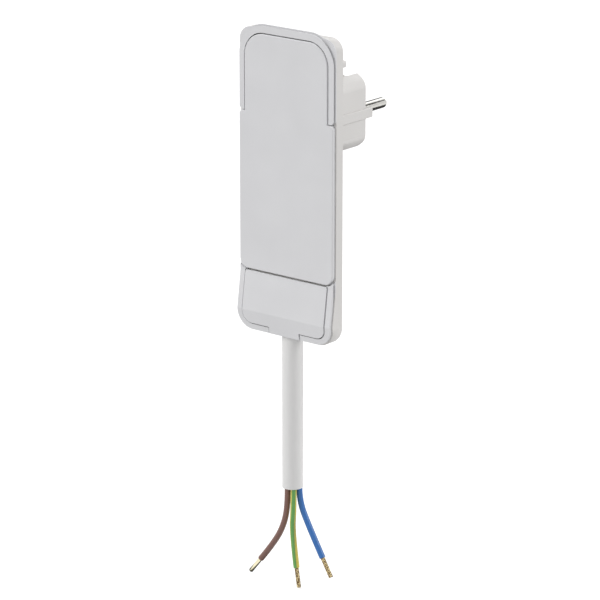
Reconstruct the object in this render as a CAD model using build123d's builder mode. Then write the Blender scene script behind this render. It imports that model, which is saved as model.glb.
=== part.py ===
from build123d import *
from math import radians, tan
import os

# Flat mains plug for a recessed earthed socket: a thin tall plate with a two-pin insert at
# its back, a rocking pull handle in its front and a cord that leaves its lower end, stripped
# to three cores. Millimetres. X runs to the right of someone who faces the plug on the wall,
# +Y is the way the pins point, into the wall, and +Z is up. The origin is midway between the
# pins on the insert's engagement face, so the plate stands at negative Y.

# Insert and pins, the dimensions of the standard two-pin plug with side earth contacts
insert_radius = 18.9
insert_half_width = 14.1
insert_depth = 17.5
insert_wall = 1.4
insert_chamfer = 0.7
insert_flat_radius = 5.0
face_wall = 3.0
recess_half_width = 9.4
recess_floor = 14.3
guide_rib_z = -1.0
guide_rib_height = 4.4
guide_rib_proud = 0.7
guide_rib_thickness = 2.1
guide_rib_reach = 3.3
guide_rib_radius = 0.4
pin_spacing = 19.0
pin_radius = 2.4
pin_shank_radius = 2.8
pin_bore_gap = 0.03
pin_length = 19.0
pin_collar_radius = 3.1
pin_collar_length = 1.2
pin_tail_radius = 1.9
pin_tail_length = 4.8

# Plate: its right side stands just past the insert's, and its back is flush with the insert's foot.
# Its base ends a little lower than the frame and has squarer upper corners.
plate_right = 15.1
front_width = 52.4
rim_step = 0.6
plate_top = 37.2
plate_bottom = -102.7
base_top = 35.2
top_radius = 14.0
back_corner_radius = 6.0
bottom_radius = 8.5
floor_thickness = 1.2
wall_thickness = 1.5
rim_height = 5.0
front_thickness = 2.0
flange_height = 0.5
shadow_gap_height = 0.5
shadow_gap_depth = 0.8
frame_drop = 0.35
back_edge_chamfer = 0.5
front_edge_radius = 0.45

# Wedge over the cord's entry: the front rises from its start to the crease, then falls
wedge_start = -76.0
wedge_crease = -93.0
wedge_rise = 2.4
wedge_end_rise = 1.0

# Handle: narrow above the notches, as wide as the plate's front below them
handle_inset = 3.1
handle_top_inset = 3.6
handle_bottom = -74.35
handle_corner_radius = 4.5
hinge_z = -2.2
hinge_height = 3.6
trunnion_radius = 1.0
trunnion_clearance = 0.05
trunnion_reach = 2.0
ear_thickness = 1.6
ear_wall = 0.45
groove = 0.5
notch_radius = 1.4
notch_bite = 0.8
seat_gap = 0.05

# Frame rails inside the base's walls
rail_thickness = 1.8
rail_gap = 0.15
rail_end_gap = 0.5

# Cable cover
cover_wall = 1.2
cover_groove = 0.4
cover_inset = 3.0
cover_seam = 0.9
cover_corner_radius = 0.8
tongue_width = 17.0
tongue_gap = 0.4
tongue_wall = 1.8
tongue_slot_gap = 0.2
cover_boss_radius = 2.6
cover_boss_offset = 18.0
cover_boss_z = -91.0

# Cover over the leads, under the handle
lead_cover_gap = 0.35
lead_cover_thickness = 0.6
lead_cover_height = 4.2
lead_cover_low_height = 2.5
lead_cover_top = 17.0
lead_cover_bend_low = 2.4
lead_cover_bend_high = 0.8
lead_cover_bottom = -77.0
lead_cover_leg = 1.0
ear_notch_gap = 0.4
ear_notch_margin = 0.5

# Cord and its cores
cord_radius = 4.75
cord_height = 2.1
lead_height = 2.7
cord_clearance = 0.05
jacket_inner_end = -85.0
jacket_outer_end = -174.3
core_radius = 1.4
core_end_radius = 1.0
core_end_length = 9.5
core_end_chamfer = 0.25
hump_wall = 1.2
hump_slope = 6.0
jacket_end_gap = 1.0

# Strain relief and small fasteners
clamp_thickness = 0.7
clamp_width = 4.0
clamp_z = wedge_crease
clamp_ear_length = 5.6
clamp_post_radius = 2.3
clamp_post_height = 2.9
screw_radius = 1.1
screw_head_radius = 2.1
screw_head_height = 1.3
screw_head_chamfer = 0.4
clamp_screw_length = 2.4
cover_screw_length = 6.5
screw_core_gap = 0.05

# Inner conductors
carrier_thickness = 2.6
fit_gap = 0.1
ferrule_wall = 0.7
ferrule_length = 4.2
ferrule_overlap = 1.8
strip_thickness = 0.8
strip_half_width = 4.0
strip_length = 14.5
strip_bend_radius = 1.0
strip_gap = 0.05
earth_tab_half_width = 3.0
earth_tab_top = -3.0
earth_tab_radius = 1.2
earth_barrel_root = 1.0
earth_rivet_z = -7.0
earth_rivet_radius = 1.2
earth_rivet_head_radius = 2.2
earth_rivet_head_height = 0.7
earth_rivet_chamfer = 0.3
earth_barrel_top = -16.5
earth_barrel_bottom = -21.0
conductor_radius = 0.8
lead_gap = 0.1
lead_bend_y = -15.5

# Moulded pads on the plate's back
back_pad_z = 23.8
back_pad_height = 3.0
back_pad_width = 2.4
back_pad_proud = 1.6
back_pad_radius = 0.8

# Places that follow from the sizes above
base_half_width = front_width / 2 + rim_step
plate_x = plate_right - base_half_width
plate_thickness = rim_height + front_thickness
front_top = plate_top - rim_step
front_bottom = plate_bottom + rim_step
cord_y = -insert_depth - cord_height
lead_y = -insert_depth - lead_height
pin_x = pin_spacing / 2
hinge_y = -insert_depth - hinge_height
collar_y = -face_wall
tail_y = collar_y - pin_collar_length
tail_end_y = tail_y - pin_tail_length
rail_top = plate_top - top_radius - rail_end_gap
rail_bottom = plate_bottom + bottom_radius + rail_end_gap
rail_outer = base_half_width - wall_thickness - rail_gap
lead_cover_half_width = rail_outer - rail_thickness - lead_cover_gap
ear_notch_half_width = front_width / 2 - handle_inset - ear_thickness - ear_notch_gap


def layer(height):
    """Front-view plane at a height over the plate's back, its normal to the front."""
    return Plane.XZ.offset(insert_depth + height)


def plate_outline(inset, upper_edge=plate_top, corner_radius=top_radius):
    """Front view of the plate, drawn in from its outer edge."""
    top = upper_edge - inset
    bottom = plate_bottom + inset
    with BuildSketch(mode=Mode.PRIVATE) as outline:
        with Locations((plate_x, (top + bottom) / 2)):
            Rectangle(2 * (base_half_width - inset), top - bottom)
        fillet(outline.vertices().group_by(Axis.Y)[-1], corner_radius - inset)
        fillet(outline.vertices().group_by(Axis.Y)[0], bottom_radius - inset)
    return outline.sketch


def handle_outline(grow):
    """Front view of the handle, grown on all sides for the gap around it."""
    narrow = front_width / 2 - handle_inset + grow
    wide = front_width / 2 + (2 * rim_step if grow > 0 else 0)
    top = front_top - handle_top_inset + grow
    bottom = handle_bottom - grow
    shoulder = hinge_z - groove / 2 + grow
    with BuildSketch(mode=Mode.PRIVATE) as outline:
        with BuildLine(mode=Mode.PRIVATE) as edge:
            Polyline(
                (plate_x - wide, bottom),
                (plate_x + wide, bottom),
                (plate_x + wide, shoulder),
                (plate_x + narrow, shoulder),
                (plate_x + narrow, top),
                (plate_x - narrow, top),
                (plate_x - narrow, shoulder),
                (plate_x - wide, shoulder),
                close=True,
            )
        make_face(edge.edges())
        fillet(outline.vertices().group_by(Axis.Y)[-1], top_radius - rim_step - handle_inset + grow)
        fillet(outline.vertices().group_by(Axis.Y)[0], handle_corner_radius + grow)
        with Locations(*notch_places()):
            Circle(notch_radius, mode=Mode.SUBTRACT)
    return outline.sketch


def notch_places():
    """Centres of the round bites in the front's edge at the hinge."""
    reach = front_width / 2 + notch_radius - notch_bite
    return [(plate_x - reach, hinge_z), (plate_x + reach, hinge_z)]


def cover_outline(grow):
    """Front view of the cable cover with its tongue, grown for the gap around it."""
    half = front_width / 2 - cover_inset + grow
    top = handle_bottom - cover_seam + grow
    bottom = front_bottom + cover_inset - grow
    with BuildSketch(mode=Mode.PRIVATE) as outline:
        with Locations((plate_x, (top + bottom) / 2)):
            Rectangle(2 * half, top - bottom)
        fillet(outline.vertices().group_by(Axis.Y)[-1], cover_corner_radius)
        fillet(outline.vertices().group_by(Axis.Y)[0], bottom_radius - rim_step - cover_inset + grow)
        with Locations((plate_x, (front_bottom + wedge_crease) / 2)):
            Rectangle(tongue_width + 2 * min(grow, tongue_gap), wedge_crease - front_bottom)
    return outline.sketch


def frame_outline(outer):
    """Front view of one of the frame's layers: an outline less the handle, cover and notches."""
    with BuildSketch(mode=Mode.PRIVATE) as outline:
        add(outer)
        add(handle_outline(groove), mode=Mode.SUBTRACT)
        add(cover_outline(cover_groove), mode=Mode.SUBTRACT)
        with Locations(*notch_places()):
            Circle(notch_radius, mode=Mode.SUBTRACT)
    return outline.sketch


def height_line(height, rises):
    """Side-view points of a surface, from the plate's top to its bottom, over the wedge or flat."""
    y = -insert_depth - height
    if not rises:
        return [(y, plate_top), (y, plate_bottom)]
    return [
        (y, plate_top),
        (y, wedge_start),
        (y - wedge_rise, wedge_crease),
        (y - wedge_end_rise, plate_bottom),
    ]


def side_band(low, high, low_rises=True):
    """Side view of what lies between two heights, the upper one following the wedge."""
    with BuildSketch(mode=Mode.PRIVATE) as band:
        with BuildLine(mode=Mode.PRIVATE) as edge:
            Polyline(*height_line(low, low_rises), *reversed(height_line(high, True)), close=True)
        make_face(edge.edges())
    return band.sketch


def insert_outline(wall):
    """Front view of the insert's body between its jaws, drawn in by a wall."""
    with BuildSketch(mode=Mode.PRIVATE) as outline:
        Circle(insert_radius - wall)
        Rectangle(2 * (insert_half_width - wall), 2 * insert_radius, mode=Mode.INTERSECT)
        fillet(outline.vertices(), insert_flat_radius)
        if wall > 0:
            Rectangle(2 * insert_radius, 2 * (recess_floor - wall), mode=Mode.INTERSECT)
        else:
            for side in (-1, 1):
                with Locations((0, side * (recess_floor + insert_radius) / 2)):
                    Rectangle(2 * recess_half_width, insert_radius - recess_floor, mode=Mode.SUBTRACT)
    return outline.sketch


def bend_radii(points):
    """Corner radii of a route: 0.45 of the shorter run over the tangent of half the turn."""
    corners = [Vector(*point) for point in points]
    radii = []
    for before, corner, after in zip(corners, corners[1:], corners[2:]):
        arriving = corner - before
        leaving = after - corner
        turn = arriving.get_angle(leaving)
        radii.append(0.45 * min(arriving.length, leaving.length) / tan(radians(turn / 2)))
    return radii


def wire(points, radius, name):
    """Round tube along straight runs joined by tangent arcs."""
    radii = bend_radii(points)
    print(name, "bend radii", [round(bend, 1) for bend in radii])
    with BuildPart() as tube:
        with BuildLine() as route:
            FilletPolyline(*points, radius=radii)
        with BuildSketch(Plane(origin=route.line @ 0, z_dir=route.line % 0)):
            Circle(radius)
        sweep()
    return tube.part


def save(piece, name):
    """Labels a finished piece and writes it."""
    piece.label = name
    export_step(piece, f"parts/{name}.step")


os.makedirs("parts", exist_ok=True)


# Base: shallow tray with the insert's hollow body moulded on its back
with BuildPart() as base_shell:
    with BuildSketch(layer(0)):
        add(plate_outline(0, base_top, back_corner_radius))
    extrude(amount=rim_height + wedge_rise)
    with BuildSketch(Plane.YZ.offset(plate_x)):
        add(side_band(0, rim_height, low_rises=False))
    extrude(amount=front_width, both=True, mode=Mode.INTERSECT)
    chamfer(base_shell.faces().sort_by(Axis.Y)[-1].edges(), back_edge_chamfer)

    # Half-round hump on the back round the cord, sloping into the plate
    hump_radius = cord_radius + cord_clearance + hump_wall
    hump_shoulder = jacket_inner_end + jacket_end_gap + hump_wall
    with BuildSketch(Plane(origin=(plate_x, cord_y, 0), x_dir=(1, 0, 0), z_dir=(0, -1, 0))):
        with BuildLine():
            Polyline(
                (0, plate_bottom),
                (hump_radius, plate_bottom),
                (hump_radius, hump_shoulder),
                (cord_height, hump_shoulder + hump_slope),
                (0, hump_shoulder + hump_slope),
                close=True,
            )
        make_face()
    revolve(axis=Axis((plate_x, cord_y, 0), (0, 0, 1)), revolution_arc=180)

    # Tray
    with BuildSketch(layer(floor_thickness)):
        add(plate_outline(wall_thickness, base_top, back_corner_radius))
    extrude(amount=rim_height + wedge_rise, mode=Mode.SUBTRACT)

    # Insert: round jaws at four corners, flats at the sides, earth recesses above and below
    with BuildSketch(Plane.XZ):
        add(insert_outline(0))
    extrude(amount=insert_depth)
    chamfer(base_shell.faces().sort_by(Axis.Y)[-1].edges(), insert_chamfer)
    for side in (-1, 1):
        rib_x = side * (insert_half_width + guide_rib_proud - guide_rib_thickness / 2)
        with BuildSketch(Plane.XZ.offset(-guide_rib_reach)):
            with Locations((rib_x, guide_rib_z)):
                RectangleRounded(guide_rib_thickness, guide_rib_height, guide_rib_radius)
        extrude(amount=guide_rib_reach + insert_depth + floor_thickness)
    with BuildSketch(Plane.XZ.offset(face_wall)):
        add(insert_outline(insert_wall))
    extrude(amount=insert_depth + floor_thickness - face_wall, mode=Mode.SUBTRACT)
    with BuildSketch(Plane.XZ):
        with Locations((-pin_x, 0), (pin_x, 0)):
            Circle(pin_shank_radius + pin_bore_gap)
    extrude(amount=face_wall, mode=Mode.SUBTRACT)

    # Slots through the plate's back for the two earth strips
    slot_z = recess_floor + (strip_thickness + 2 * strip_gap) / 2
    with BuildSketch(layer(0)):
        with Locations((0, -slot_z), (0, slot_z)):
            Rectangle(2 * (strip_half_width + fit_gap), strip_thickness + 2 * strip_gap)
    extrude(amount=floor_thickness, mode=Mode.SUBTRACT)

    # Small pads on the back, near the upper corners
    for side in (-1, 1):
        with BuildSketch(layer(0)):
            with Locations((plate_x + side * (base_half_width - back_pad_width / 2), back_pad_z)):
                RectangleRounded(back_pad_width, back_pad_height, back_pad_radius)
        extrude(amount=-back_pad_proud)
        with BuildSketch(layer(0)):
            with Locations((plate_x + side * (base_half_width - back_pad_width / 2), back_pad_z)):
                RectangleRounded(back_pad_width, back_pad_height, back_pad_radius)
        extrude(amount=floor_thickness)

    # Posts for the cord clamp, with pilot holes
    clamp_post_x = cord_radius + clamp_thickness + clamp_ear_length / 2
    with BuildSketch(layer(0)):
        with Locations((plate_x - clamp_post_x, clamp_z), (plate_x + clamp_post_x, clamp_z)):
            Circle(clamp_post_radius)
    extrude(amount=clamp_post_height)
    with BuildSketch(layer(clamp_post_height)):
        with Locations((plate_x - clamp_post_x, clamp_z), (plate_x + clamp_post_x, clamp_z)):
            Circle(screw_radius + screw_core_gap)
    extrude(amount=-(clamp_screw_length - clamp_thickness), mode=Mode.SUBTRACT)

    # Cord's way out, and the slot in the end wall that the cover's tongue fills
    with BuildSketch(Plane.XY.offset(plate_bottom)):
        with Locations((plate_x, cord_y)):
            Circle(cord_radius + cord_clearance)
    extrude(amount=jacket_inner_end + jacket_end_gap - plate_bottom, mode=Mode.SUBTRACT)
    with BuildSketch(layer(cord_height)):
        with Locations((plate_x, plate_bottom)):
            Rectangle(tongue_width + 2 * fit_gap, 2 * (wall_thickness + rim_step + tongue_slot_gap))
    extrude(amount=plate_thickness, mode=Mode.SUBTRACT)

    # Countersunk holes in the back for the cover's screws
    for side in (-1, 1):
        screw_place = (plate_x + side * cover_boss_offset, -insert_depth, cover_boss_z)
        with Locations(Plane(origin=screw_place, x_dir=(1, 0, 0), z_dir=(0, 1, 0))):
            CounterSinkHole(screw_radius + screw_core_gap, screw_head_radius + screw_core_gap, floor_thickness)
save(base_shell.part, "base_shell")


# Frame: strip round the handle and the cable cover over a thin flange that closes the base's rim,
# with rails inside the base's walls
with BuildPart() as front_frame:
    with BuildSketch(layer(rim_height + flange_height + shadow_gap_height)):
        add(frame_outline(plate_outline(rim_step)))
    extrude(amount=front_thickness + wedge_rise)
    with BuildSketch(layer(rim_height)):
        add(frame_outline(plate_outline(rim_step + shadow_gap_depth)))
    extrude(amount=front_thickness)
    with BuildSketch(layer(rim_height)):
        add(frame_outline(plate_outline(0)))
        add(frame_outline(plate_outline(0, base_top, back_corner_radius)))
    extrude(amount=flange_height)
    with BuildSketch(Plane.YZ.offset(plate_x)):
        add(side_band(rim_height, plate_thickness - frame_drop))
    extrude(amount=front_width, both=True, mode=Mode.INTERSECT)
    for side in (-1, 1):
        rail_start = side * (rail_outer - (rail_thickness if side > 0 else 0))
        with BuildSketch(Plane.YZ.offset(plate_x + rail_start)):
            add(side_band(floor_thickness + seat_gap, rim_height, low_rises=False))
            with Locations((-insert_depth - rim_height, (rail_top + rail_bottom) / 2)):
                Rectangle(4 * rim_height, rail_top - rail_bottom, mode=Mode.INTERSECT)
        extrude(amount=rail_thickness)
    with BuildSketch(Plane.YZ.offset(plate_x)):
        with Locations((hinge_y, hinge_z)):
            Circle(trunnion_radius + trunnion_clearance)
    extrude(amount=base_half_width - wall_thickness, both=True, mode=Mode.SUBTRACT)
save(front_frame.part, "front_frame")


# Handle: T-shaped plate with two ears behind it that carry the trunnions
with BuildPart() as handle_panel:
    with BuildSketch(layer(rim_height + seat_gap)):
        add(handle_outline(0))
    extrude(amount=front_thickness - seat_gap)
    fillet(handle_panel.faces().sort_by(Axis.Y)[0].edges(), front_edge_radius)
    for side in (-1, 1):
        ear_outer = front_width / 2 - handle_inset
        ear_start = side * (ear_outer - (ear_thickness if side > 0 else 0))
        with BuildSketch(Plane.YZ.offset(plate_x + ear_start)):
            with BuildLine():
                ear_radius = trunnion_radius + ear_wall
                plate_y = -insert_depth - rim_height - front_thickness / 2
                Polyline(
                    (plate_y, hinge_z - ear_radius),
                    (hinge_y, hinge_z - ear_radius),
                )
                ThreePointArc(
                    (hinge_y, hinge_z - ear_radius),
                    (hinge_y + ear_radius, hinge_z),
                    (hinge_y, hinge_z + ear_radius),
                )
                Polyline(
                    (hinge_y, hinge_z + ear_radius),
                    (plate_y, hinge_z + ear_radius),
                    (plate_y, hinge_z - ear_radius),
                )
            make_face()
        extrude(amount=ear_thickness)
        with BuildSketch(Plane.YZ.offset(plate_x + side * ear_outer)):
            with Locations((hinge_y, hinge_z)):
                Circle(trunnion_radius)
        extrude(amount=side * trunnion_reach)
save(handle_panel.part, "handle_panel")


# Cable cover: wedge-shaped skin with a tongue over the cord and two screw bosses
with BuildPart() as cable_cover:
    with BuildSketch(layer(rim_height)):
        add(cover_outline(0))
    extrude(amount=front_thickness + wedge_rise)
    with BuildSketch(Plane.YZ.offset(plate_x)):
        add(side_band(plate_thickness - cover_wall, plate_thickness))
    extrude(amount=front_width, both=True, mode=Mode.INTERSECT)
    with BuildSketch(layer(cord_height)):
        with Locations((plate_x, front_bottom + tongue_wall / 2)):
            Rectangle(tongue_width, tongue_wall)
    extrude(amount=plate_thickness + wedge_end_rise - cover_wall / 2 - cord_height)
    with BuildSketch(layer(floor_thickness + seat_gap)):
        with Locations(
            (plate_x - cover_boss_offset, cover_boss_z),
            (plate_x + cover_boss_offset, cover_boss_z),
        ):
            Circle(cover_boss_radius)
    extrude(amount=plate_thickness + wedge_rise / 2 - floor_thickness)
    with BuildSketch(layer(floor_thickness + seat_gap)):
        with Locations(
            (plate_x - cover_boss_offset, cover_boss_z),
            (plate_x + cover_boss_offset, cover_boss_z),
        ):
            Circle(screw_radius + screw_core_gap)
    extrude(amount=cover_screw_length - floor_thickness, mode=Mode.SUBTRACT)
    with BuildSketch(Plane.XY.offset(plate_bottom)):
        with Locations((plate_x, cord_y)):
            Circle(cord_radius + cord_clearance)
    extrude(amount=jacket_inner_end - plate_bottom, mode=Mode.SUBTRACT)
save(cable_cover.part, "cable_cover")


# Cover over the leads, a bent channel lid between the rails
with BuildPart() as lead_cover:
    with BuildSketch(Plane.YZ.offset(plate_x)):
        with BuildLine():
            high_y = -insert_depth - lead_cover_height
            low_y = -insert_depth - lead_cover_low_height
            Polyline(
                (high_y, lead_cover_bottom),
                (high_y, hinge_z + lead_cover_bend_high),
                (low_y, hinge_z + lead_cover_bend_low),
                (low_y, lead_cover_top),
                (low_y - lead_cover_thickness, lead_cover_top),
                (low_y - lead_cover_thickness, hinge_z + lead_cover_bend_low),
                (high_y - lead_cover_thickness, hinge_z + lead_cover_bend_high),
                (high_y - lead_cover_thickness, lead_cover_bottom),
                close=True,
            )
        make_face()
    extrude(amount=lead_cover_half_width, both=True)
    leg_height = lead_cover_height - floor_thickness
    leg_top = hinge_z - trunnion_radius - ear_wall - ear_notch_margin
    with BuildSketch(layer(floor_thickness + seat_gap)):
        for side in (-1, 1):
            leg_x = plate_x + side * (lead_cover_half_width - lead_cover_leg / 2)
            with Locations((leg_x, (lead_cover_bottom + leg_top) / 2)):
                Rectangle(lead_cover_leg, leg_top - lead_cover_bottom)
    extrude(amount=leg_height)
    with BuildSketch(layer(0)):
        notch_bottom = hinge_z - trunnion_radius - ear_wall - ear_notch_margin
        notch_top = hinge_z + trunnion_radius + ear_wall + ear_notch_margin
        notch_width = lead_cover_half_width - ear_notch_half_width
        for side in (-1, 1):
            notch_x = plate_x + side * (ear_notch_half_width + notch_width / 2)
            with Locations((notch_x, (notch_bottom + notch_top) / 2)):
                Rectangle(notch_width, notch_top - notch_bottom)
    extrude(amount=rim_height, mode=Mode.SUBTRACT)
save(lead_cover.part, "lead_cover")


# Pins: solid, with a domed tip, a collar behind the insert's face and a tail
for side, name in ((-1, "line_pin"), (1, "neutral_pin")):
    with BuildPart() as pin:
        with BuildSketch(Plane.XY):
            with BuildLine():
                Polyline(
                    (0, tail_end_y),
                    (pin_tail_radius, tail_end_y),
                    (pin_tail_radius, tail_y),
                    (pin_collar_radius, tail_y),
                    (pin_collar_radius, collar_y),
                    (pin_shank_radius, collar_y),
                    (pin_shank_radius, 0),
                    (pin_radius, 0),
                    (pin_radius, pin_length - pin_radius),
                )
                CenterArc((0, pin_length - pin_radius), pin_radius, 0, 90)
                Line((0, pin_length), (0, tail_end_y))
            make_face()
        revolve(axis=Axis.Y)
    save(pin.part.moved(Location((side * pin_x, 0, 0))), name)


# Contact carrier: plate that locks the pins' collars behind the insert's face
with BuildPart() as contact_carrier:
    with BuildSketch(Plane.XZ.offset(-tail_y)):
        add(insert_outline(insert_wall + fit_gap))
        with Locations((-pin_x, 0), (pin_x, 0)):
            Circle(pin_tail_radius + seat_gap, mode=Mode.SUBTRACT)
    extrude(amount=carrier_thickness)
save(contact_carrier.part, "contact_carrier")


# Ferrules that join the pins' tails to the leads
for side, name in ((-1, "line_ferrule"), (1, "neutral_ferrule")):
    ferrule_start = -tail_end_y - ferrule_overlap
    with BuildPart() as ferrule:
        with BuildSketch(Plane.XZ.offset(ferrule_start)):
            with Locations((side * pin_x, 0)):
                Circle(pin_tail_radius + ferrule_wall)
        extrude(amount=ferrule_length)
        with BuildSketch(Plane.XZ.offset(ferrule_start)):
            with Locations((side * pin_x, 0)):
                Circle(pin_tail_radius + seat_gap)
        extrude(amount=ferrule_overlap, mode=Mode.SUBTRACT)
        with BuildSketch(Plane.XZ.offset(ferrule_start)):
            with Locations((side * pin_x, 0)):
                Circle(core_radius + seat_gap)
        extrude(amount=ferrule_length, mode=Mode.SUBTRACT)
    save(ferrule.part, name)


# Earth bracket: one strip bent to a U, its bridge in the tray and its legs in the recesses
with BuildPart() as earth_bracket:
    bridge_y = -insert_depth - floor_thickness - strip_gap - strip_thickness
    leg_z = recess_floor + strip_gap + strip_thickness
    leg_end = bridge_y + floor_thickness + strip_thickness + strip_length
    with BuildSketch(Plane.YZ):
        with BuildLine():
            outer = FilletPolyline(
                (leg_end, -leg_z),
                (bridge_y, -leg_z),
                (bridge_y, leg_z),
                (leg_end, leg_z),
                radius=strip_bend_radius,
            )
            offset(outer, strip_thickness, side=Side.RIGHT)
        make_face()
    extrude(amount=strip_half_width, both=True)
    with BuildSketch(Plane.XZ.offset(-bridge_y)):
        with Locations((0, earth_rivet_z)):
            Circle(earth_rivet_radius + seat_gap)
    extrude(amount=-strip_thickness, mode=Mode.SUBTRACT)
save(earth_bracket.part, "earth_bracket")


# Earth terminal: flat tab riveted to the bridge, with a barrel round the earth conductor
with BuildPart() as earth_terminal:
    with BuildSketch(Plane.XZ.offset(-bridge_y)):
        with Locations((0, (earth_tab_top + earth_barrel_top) / 2)):
            RectangleRounded(
                2 * earth_tab_half_width, earth_tab_top - earth_barrel_top, earth_tab_radius
            )
    extrude(amount=strip_thickness)
    with BuildSketch(Plane.XY.offset(earth_barrel_bottom)):
        with Locations((0, lead_y)):
            Circle(core_radius)
    extrude(amount=earth_barrel_top - earth_barrel_bottom + earth_barrel_root)
    with BuildSketch(Plane.XY.offset(earth_barrel_bottom)):
        with Locations((0, lead_y)):
            Circle(conductor_radius)
    extrude(amount=earth_barrel_top - earth_barrel_bottom, mode=Mode.SUBTRACT)
    with BuildSketch(Plane.XZ.offset(-bridge_y)):
        with Locations((0, earth_rivet_z)):
            Circle(earth_rivet_radius + seat_gap)
    extrude(amount=strip_thickness, mode=Mode.SUBTRACT)
save(earth_terminal.part, "earth_terminal")


with BuildPart() as earth_rivet:
    with BuildSketch(Plane.XZ.offset(-bridge_y + strip_thickness)):
        with Locations((0, earth_rivet_z)):
            Circle(earth_rivet_head_radius)
    extrude(amount=earth_rivet_head_height)
    chamfer(earth_rivet.edges().sort_by(Axis.Y)[0], earth_rivet_chamfer)
    with BuildSketch(Plane.XZ.offset(-bridge_y + strip_thickness)):
        with Locations((0, earth_rivet_z)):
            Circle(earth_rivet_radius)
    extrude(amount=-2 * strip_thickness)
save(earth_rivet.part, "earth_rivet")


# Leads from the jacket's inner end to the pins and the earth terminal
lead_spacing = 2 * core_radius + lead_gap
lead_start_y = tail_end_y - seat_gap
line_lead_route = [
    (-pin_x, lead_start_y, 0),
    (-pin_x, lead_bend_y, 0),
    (-10.6, lead_y, -10),
    (plate_x - lead_spacing, lead_y, -62),
    (plate_x - lead_spacing, lead_y, jacket_inner_end),
]
neutral_lead_route = [
    (pin_x, lead_start_y, 0),
    (pin_x, lead_bend_y, 0),
    (6.8, lead_y, -11),
    (4.6, lead_y, -34),
    (plate_x + lead_spacing, lead_y, -72),
    (plate_x + lead_spacing, lead_y, jacket_inner_end),
]
earth_lead_route = [
    (0, lead_y, earth_barrel_bottom),
    (0, lead_y, -28),
    (plate_x, lead_y, -62),
    (plate_x, lead_y, jacket_inner_end),
]
save(wire(line_lead_route, core_radius, "line_lead"), "line_lead")
save(wire(neutral_lead_route, core_radius, "neutral_lead"), "neutral_lead")
save(wire(earth_lead_route, core_radius, "earth_lead"), "earth_lead")


# Cord clamp: strip bent over the jacket, with a flat ear at each side
with BuildPart() as cord_clamp:
    saddle_radius = cord_radius + cord_clearance
    ear_y = -insert_depth - clamp_post_height
    with BuildSketch(Plane.XY.offset(clamp_z - clamp_width / 2)):
        with Locations((plate_x, cord_y)):
            Circle(saddle_radius + clamp_thickness)
            Circle(saddle_radius, mode=Mode.SUBTRACT)
        with Locations((plate_x, ear_y + saddle_radius + clamp_thickness)):
            Rectangle(
                4 * saddle_radius,
                2 * (saddle_radius + clamp_thickness),
                mode=Mode.SUBTRACT,
            )
        for side in (-1, 1):
            ear_length = clamp_ear_length + clamp_thickness
            ear_x = plate_x + side * (saddle_radius + ear_length / 2)
            with Locations((ear_x, ear_y - clamp_thickness / 2)):
                Rectangle(ear_length, clamp_thickness)
    extrude(amount=clamp_width)
    with BuildSketch(layer(clamp_post_height)):
        with Locations((plate_x - clamp_post_x, clamp_z), (plate_x + clamp_post_x, clamp_z)):
            Circle(screw_radius + screw_core_gap)
    extrude(amount=clamp_thickness, mode=Mode.SUBTRACT)
save(cord_clamp.part, "cord_clamp")


# Screws: two pan heads hold the clamp, two countersunk ones hold the cable cover
with BuildPart() as clamp_screws:
    with BuildSketch(layer(clamp_post_height + clamp_thickness)) as clamp_screw_places:
        with Locations((plate_x - clamp_post_x, clamp_z), (plate_x + clamp_post_x, clamp_z)):
            Circle(screw_head_radius)
    extrude(amount=screw_head_height)
    chamfer(clamp_screws.faces().group_by(Axis.Y)[0].edges(), screw_head_chamfer)
    with BuildSketch(layer(clamp_post_height + clamp_thickness)):
        with Locations((plate_x - clamp_post_x, clamp_z), (plate_x + clamp_post_x, clamp_z)):
            Circle(screw_radius)
    extrude(amount=-clamp_screw_length)
save(clamp_screws.part, "clamp_screws")

with BuildPart() as cover_screws:
    with BuildSketch(Plane.XY):
        with BuildLine():
            Polyline(
                (0, 0),
                (screw_head_radius, 0),
                (screw_radius, screw_radius - screw_head_radius),
                (screw_radius, -cover_screw_length),
                (0, -cover_screw_length),
                close=True,
            )
        make_face()
    revolve(axis=Axis.Y)
cover_screw_pair = Compound(
    children=[
        cover_screws.part.moved(
            Location((plate_x + side * cover_boss_offset, -insert_depth, cover_boss_z))
        )
        for side in (-1, 1)
    ]
)
save(cover_screw_pair, "cover_screws")


# Cord jacket, straight from the clamp to where it is stripped
with BuildPart() as cord_jacket:
    with BuildSketch(Plane.XY.offset(jacket_outer_end)):
        with Locations((plate_x, cord_y)):
            Circle(cord_radius)
    extrude(amount=jacket_inner_end - jacket_outer_end)
save(cord_jacket.part, "cord_jacket")


# Stripped cores below the jacket, with their bare crimped ends
core_routes = {
    "line": [
        (-13.2, -21.3, jacket_outer_end),
        (-13.2, -21.3, -184.0),
        (-15.6, -21.6, -194.0),
        (-21.2, -21.8, -203.5),
        (-28.4, -22.0, -212.4),
    ],
    "earth": [
        (-9.7, -21.4, jacket_outer_end),
        (-9.7, -21.4, -184.5),
        (-10.2, -21.8, -195.0),
        (-7.9, -21.5, -211.9),
    ],
    "neutral": [
        (-8.9, -18.2, jacket_outer_end),
        (-8.9, -18.2, -181.0),
        (-3.3, -18.5, -191.5),
        (5.2, -19.0, -204.9),
    ],
}
for name, route in core_routes.items():
    save(wire(route, core_radius, f"{name}_core"), f"{name}_core")
    tip_direction = Vector(*route[-1]) - Vector(*route[-2])
    print(name, "core end", [round(part, 5) for part in tip_direction.normalized()])
    with BuildPart() as core_end:
        with BuildSketch(Plane(origin=route[-1], z_dir=tip_direction)):
            Circle(core_end_radius)
        extrude(amount=core_end_length)
        tip_face = core_end.faces().sort_by(Axis(route[-1], tuple(tip_direction)))[-1]
        chamfer(tip_face.edges(), core_end_chamfer)
    save(core_end.part, f"{name}_core_end")
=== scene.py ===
from math import cos, pi, radians, sin, tau

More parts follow.
